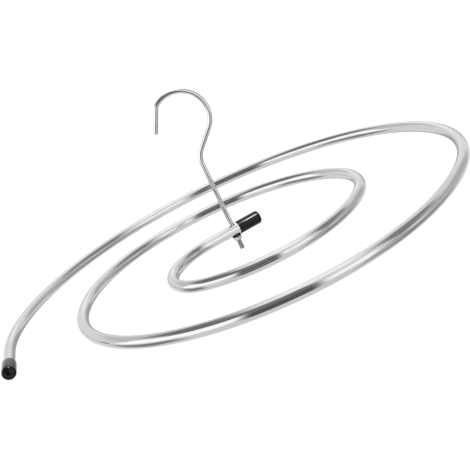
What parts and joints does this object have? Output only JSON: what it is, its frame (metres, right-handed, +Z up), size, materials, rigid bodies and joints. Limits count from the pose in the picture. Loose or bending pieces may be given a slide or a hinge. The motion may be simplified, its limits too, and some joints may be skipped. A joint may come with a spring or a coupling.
{
  "type": "spiral drying rack",
  "caption": "Flat spiral hanger of polished steel tube that turns freely under a wire rail hook, for drying sheets and blankets, with slip-on black end caps.",
  "frame": {"origin": "the hook's seat: the underside of the top of its loop, where it hangs on a rail", "axes": "+Z up along the hook's shank, which is also the axis the spiral turns about; the hook lies in the XZ plane with its open side towards -X, and the spiral lies level below it with its inner end cap towards +X"},
  "size_m": [0.4656, 0.4471, 0.1653],
  "materials": {
    "polished_steel": "mirror-polished stainless steel tube and wire",
    "bright_zinc": "bright zinc plate",
    "black_nylon": "moulded black nylon, satin",
    "black_vinyl": "dipped soft black vinyl, glossy"
  },
  "bodies": {
    "hook": {"hook": "polished_steel", "nut": "bright_zinc"},
    "washer": {"washer": "black_nylon"},
    "spiral": {"spiral_tube": "polished_steel", "inner_cap": "black_vinyl", "outer_cap": "black_vinyl"}
  },
  "joints": [
    {"name": "hook_swivel", "type": "hinge", "parent": "hook", "child": "washer", "pos_m": [0, 0, -0.14079], "axis": [0, 0, 1], "continuous": true},
    {"name": "spiral_lift", "type": "slide", "parent": "washer", "child": "spiral", "axis": [0, 0, 1], "range_m": [0, 0.065]}
  ]
}
